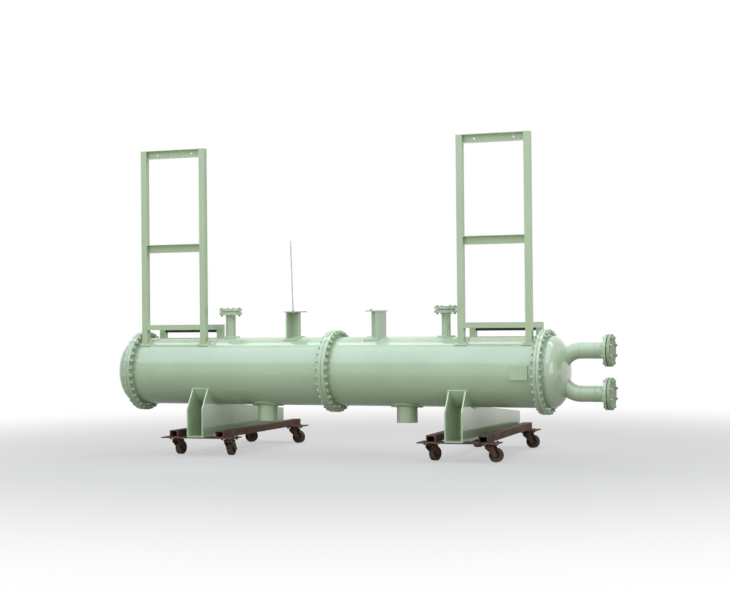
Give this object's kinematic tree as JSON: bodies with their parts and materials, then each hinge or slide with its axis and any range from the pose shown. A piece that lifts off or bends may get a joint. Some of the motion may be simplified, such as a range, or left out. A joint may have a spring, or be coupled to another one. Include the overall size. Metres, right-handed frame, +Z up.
{
  "type": "shell and tube heat exchanger",
  "caption": "Horizontal shell and tube heat exchanger with bolted flanges, domed channel head, side pipe elbows, ladder frames on top and saddle beams on wheeled dollies.",
  "frame": {"origin": "centre of the outline at floor level, below the middle of the whole length and depth", "axes": "+X along the shell towards the channel head with its pipe elbows, +Y from the front to the back, +Z up"},
  "size_m": [3.8524, 1.5188, 2.317],
  "materials": {
    "green_paint": "gloss",
    "rusty_steel": "rough",
    "caster_tread": "matte"
  },
  "bodies": {
    "exchanger": {"left_shell": "green_paint", "right_shell": "green_paint", "rear_head": "green_paint", "tube_sheet": "green_paint", "channel_head": "green_paint", "pass_partition": "green_paint", "upper_head_nozzle": "green_paint", "lower_head_nozzle": "green_paint", "upper_nozzle_blind": "green_paint", "lower_nozzle_blind": "green_paint", "left_top_nozzle": "green_paint", "right_top_nozzle": "green_paint", "left_top_blind": "green_paint", "right_top_blind": "green_paint", "left_bottom_nozzle": "green_paint", "right_bottom_nozzle": "green_paint", "left_top_bracket": "green_paint", "right_top_bracket": "green_paint", "left_ladder_frame": "green_paint", "right_ladder_frame": "green_paint", "left_frame_pads": "green_paint", "right_frame_pads": "green_paint", "nameplate_bracket": "green_paint", "left_saddle": "green_paint", "right_saddle": "green_paint", "left_saddle_pad": "green_paint", "right_saddle_pad": "green_paint", "left_dolly_frame": "rusty_steel", "right_dolly_frame": "rusty_steel"},
    "swivel_left_front_a": {"fork_left_front_a": "rusty_steel"},
    "roller_left_front_a": {"wheel_left_front_a": "caster_tread"},
    "swivel_left_front_b": {"fork_left_front_b": "rusty_steel"},
    "roller_left_front_b": {"wheel_left_front_b": "caster_tread"},
    "swivel_left_rear_a": {"fork_left_rear_a": "rusty_steel"},
    "roller_left_rear_a": {"wheel_left_rear_a": "caster_tread"},
    "swivel_left_rear_b": {"fork_left_rear_b": "rusty_steel"},
    "roller_left_rear_b": {"wheel_left_rear_b": "caster_tread"},
    "swivel_right_front_a": {"fork_right_front_a": "rusty_steel"},
    "roller_right_front_a": {"wheel_right_front_a": "caster_tread"},
    "swivel_right_front_b": {"fork_right_front_b": "rusty_steel"},
    "roller_right_front_b": {"wheel_right_front_b": "caster_tread"},
    "swivel_right_rear_a": {"fork_right_rear_a": "rusty_steel"},
    "roller_right_rear_a": {"wheel_right_rear_a": "caster_tread"},
    "swivel_right_rear_b": {"fork_right_rear_b": "rusty_steel"},
    "roller_right_rear_b": {"wheel_right_rear_b": "caster_tread"}
  },
  "joints": [
    {"name": "swivel_left_front_a", "type": "hinge", "parent": "exchanger", "child": "swivel_left_front_a", "pos_m": [-1.37298, -0.61866, 0.114], "axis": [0, 0, 1], "continuous": true},
    {"name": "roll_left_front_a", "type": "hinge", "parent": "swivel_left_front_a", "child": "roller_left_front_a", "pos_m": [-1.36932, -0.57682, 0.05], "axis": [-0.9962, 0.0872, 0], "continuous": true},
    {"name": "swivel_left_front_b", "type": "hinge", "parent": "exchanger", "child": "swivel_left_front_b", "pos_m": [-0.94305, -0.61115, 0.114], "axis": [0, 0, 1], "continuous": true},
    {"name": "roll_left_front_b", "type": "hinge", "parent": "swivel_left_front_b", "child": "roller_left_front_b", "pos_m": [-0.94671, -0.56931, 0.05], "axis": [-0.9962, -0.0872, 0], "continuous": true},
    {"name": "swivel_left_rear_a", "type": "hinge", "parent": "exchanger", "child": "swivel_left_rear_a", "pos_m": [-1.39463, 0.62115, 0.114], "axis": [0, 0, 1], "continuous": true},
    {"name": "roll_left_rear_a", "type": "hinge", "parent": "swivel_left_rear_a", "child": "roller_left_rear_a", "pos_m": [-1.35263, 0.62115, 0.05], "axis": [0, 1, 0], "continuous": true},
    {"name": "swivel_left_rear_b", "type": "hinge", "parent": "exchanger", "child": "swivel_left_rear_b", "pos_m": [-0.96469, 0.62866, 0.114], "axis": [0, 0, 1], "continuous": true},
    {"name": "roll_left_rear_b", "type": "hinge", "parent": "swivel_left_rear_b", "child": "roller_left_rear_b", "pos_m": [-0.92333, 0.62136, 0.05], "axis": [0.1736, 0.9848, 0], "continuous": true},
    {"name": "swivel_right_front_a", "type": "hinge", "parent": "exchanger", "child": "swivel_right_front_a", "pos_m": [0.6642, -0.62698, 0.114], "axis": [0, 0, 1], "continuous": true},
    {"name": "roll_right_front_a", "type": "hinge", "parent": "swivel_right_front_a", "child": "roller_right_front_a", "pos_m": [0.67717, -0.58703, 0.05], "axis": [-0.9511, 0.309, 0], "continuous": true},
    {"name": "swivel_right_front_b", "type": "hinge", "parent": "exchanger", "child": "swivel_right_front_b", "pos_m": [1.09339, -0.60073, 0.114], "axis": [0, 0, 1], "continuous": true},
    {"name": "roll_right_front_b", "type": "hinge", "parent": "swivel_right_front_b", "child": "roller_right_front_b", "pos_m": [1.13523, -0.60439, 0.05], "axis": [0.0872, 0.9962, 0], "continuous": true},
    {"name": "swivel_right_rear_a", "type": "hinge", "parent": "exchanger", "child": "swivel_right_rear_a", "pos_m": [0.5885, 0.61071, 0.114], "axis": [0, 0, 1], "continuous": true},
    {"name": "roll_right_rear_a", "type": "hinge", "parent": "swivel_right_rear_a", "child": "roller_right_rear_a", "pos_m": [0.62487, 0.58971, 0.05], "axis": [0.5, 0.866, 0], "continuous": true},
    {"name": "swivel_right_rear_b", "type": "hinge", "parent": "exchanger", "child": "swivel_right_rear_b", "pos_m": [1.01769, 0.63696, 0.114], "axis": [0, 0, 1], "continuous": true},
    {"name": "roll_right_rear_b", "type": "hinge", "parent": "swivel_right_rear_b", "child": "roller_right_rear_b", "pos_m": [1.05906, 0.62967, 0.05], "axis": [0.1736, 0.9848, 0], "continuous": true}
  ]
}
